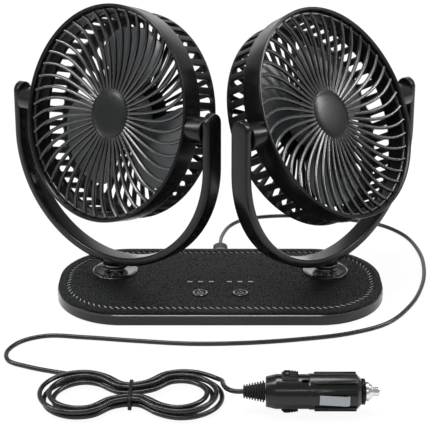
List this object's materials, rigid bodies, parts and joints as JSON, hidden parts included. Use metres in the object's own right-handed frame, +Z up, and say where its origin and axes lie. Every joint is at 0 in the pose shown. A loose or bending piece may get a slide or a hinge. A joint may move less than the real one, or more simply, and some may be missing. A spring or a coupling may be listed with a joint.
{
  "type": "dual head car fan",
  "caption": "Twin swivelling desk and dashboard fan: two caged heads in yokes on ball joints over a leather-topped base, with a tied cord and a 12 V plug.",
  "frame": {"origin": "middle of the underside of the base, on the surface it stands on", "axes": "+Z up, +X along the base to the right seen from the button side, -Y towards the user (buttons), +Y to the cord's gland"},
  "size_m": [0.3064, 0.3164, 0.1998],
  "materials": {
    "satin_black": "satin moulded",
    "matt_black": "fine matt moulded",
    "gloss_black": "polished",
    "leather": "black grained, stitched with light grey thread",
    "grip_rubber": "matt",
    "cord_rubber": "satin",
    "blade_grey": "satin, see-through grey at the edges",
    "cap_grey": "satin",
    "light_grey": "translucent",
    "board": "satin",
    "lamp_red": "clear red",
    "motor_steel": "plain",
    "steel": "bright"
  },
  "bodies": {
    "base": {"base_tray": "satin_black", "grip_sheet": "grip_rubber", "base_lid": "matt_black", "leather_pad": "leather", "circuit_board": "board", "switch_left": "matt_black", "switch_right": "matt_black", "light_guide_left": "light_grey", "light_guide_right": "light_grey", "dish_left": "gloss_black", "dish_right": "gloss_black", "ball_stud_left": "steel", "ball_stud_right": "steel", "stud_nut_left": "steel", "stud_nut_right": "steel", "cord_gland": "cord_rubber", "cord_run": "cord_rubber", "cord_hank": "cord_rubber", "cord_tail": "cord_rubber", "cord_tie": "matt_black", "plug_relief": "cord_rubber", "plug_body": "satin_black", "plug_lamp": "lamp_red", "plug_ring": "matt_black", "plug_tip": "steel", "plug_fuse": "steel"},
    "button_left": {"button_left": "matt_black"},
    "button_right": {"button_right": "matt_black"},
    "plug_pin": {"plug_pin": "steel"},
    "plug_contact_front": {"plug_contact_front": "steel"},
    "plug_contact_back": {"plug_contact_back": "steel"},
    "liner_left": {"liner_left": "grip_rubber"},
    "yoke_left": {"socket_collar_left": "gloss_black", "yoke_left": "satin_black"},
    "head_left": {"shroud_left": "satin_black", "front_grille_left": "satin_black", "hub_cap_left": "cap_grey", "rear_cage_left": "matt_black", "motor_left": "motor_steel", "tilt_pin_left_a": "steel", "tilt_pin_left_b": "steel"},
    "impeller_left": {"impeller_left": "blade_grey", "motor_shaft_left": "steel"},
    "liner_right": {"liner_right": "grip_rubber"},
    "yoke_right": {"socket_collar_right": "gloss_black", "yoke_right": "satin_black"},
    "head_right": {"shroud_right": "satin_black", "front_grille_right": "satin_black", "hub_cap_right": "cap_grey", "rear_cage_right": "matt_black", "motor_right": "motor_steel", "tilt_pin_right_a": "steel", "tilt_pin_right_b": "steel"},
    "impeller_right": {"impeller_right": "blade_grey", "motor_shaft_right": "steel"}
  },
  "joints": [
    {"name": "swivel_left", "type": "hinge", "parent": "base", "child": "liner_left", "pos_m": [-0.076, 0.0146, 0.0164], "axis": [0, 0, 1], "range_deg": [-100, 6]},
    {"name": "lean_left", "type": "hinge", "parent": "liner_left", "child": "yoke_left", "pos_m": [-0.076, 0.0146, 0.0164], "axis": [-1, 0, 0], "range_deg": [-20, 8]},
    {"name": "tilt_left", "type": "hinge", "parent": "yoke_left", "child": "head_left", "pos_m": [-0.076, 0.026, 0.1249], "axis": [0.766, -0.6393, 0.0672], "range_deg": [-78, 71]},
    {"name": "spin_left", "type": "hinge", "parent": "head_left", "child": "impeller_left", "pos_m": [-0.076, 0.026, 0.1249], "axis": [-0.6299, -0.7257, 0.2767], "continuous": true},
    {"name": "swivel_right", "type": "hinge", "parent": "base", "child": "liner_right", "pos_m": [0.076, 0.0146, 0.0164], "axis": [0, 0, 1], "range_deg": [-6, 82]},
    {"name": "lean_right", "type": "hinge", "parent": "liner_right", "child": "yoke_right", "pos_m": [0.076, 0.0146, 0.0164], "axis": [1, 0, 0], "range_deg": [-9.5, 18]},
    {"name": "tilt_right", "type": "hinge", "parent": "yoke_right", "child": "head_right", "pos_m": [0.076, 0.02259, 0.12521], "axis": [0.6782, 0.7329, -0.0538], "range_deg": [-64, 85]},
    {"name": "spin_right", "type": "hinge", "parent": "head_right", "child": "impeller_right", "pos_m": [0.076, 0.02259, 0.12521], "axis": [0.6622, -0.5777, 0.4772], "continuous": true},
    {"name": "press_left", "type": "slide", "parent": "base", "child": "button_left", "axis": [0, 0, -1], "range_m": [0, 0.0005], "stiffness_N_per_m": 1500, "springref_m": -0.001},
    {"name": "press_right", "type": "slide", "parent": "base", "child": "button_right", "axis": [0, 0, -1], "range_m": [0, 0.0005], "stiffness_N_per_m": 1500, "springref_m": -0.001},
    {"name": "pin_press", "type": "slide", "parent": "base", "child": "plug_pin", "axis": [-1, 0, 0], "range_m": [0, 0.002], "stiffness_N_per_m": 2000, "springref_m": -0.003},
    {"name": "contact_press_front", "type": "slide", "parent": "base", "child": "plug_contact_front", "axis": [0, 1, 0], "range_m": [0, 0.0009], "stiffness_N_per_m": 3000, "springref_m": -0.001},
    {"name": "contact_press_back", "type": "slide", "parent": "base", "child": "plug_contact_back", "axis": [0, -1, 0], "range_m": [0, 0.0009], "stiffness_N_per_m": 3000, "springref_m": -0.001}
  ]
}
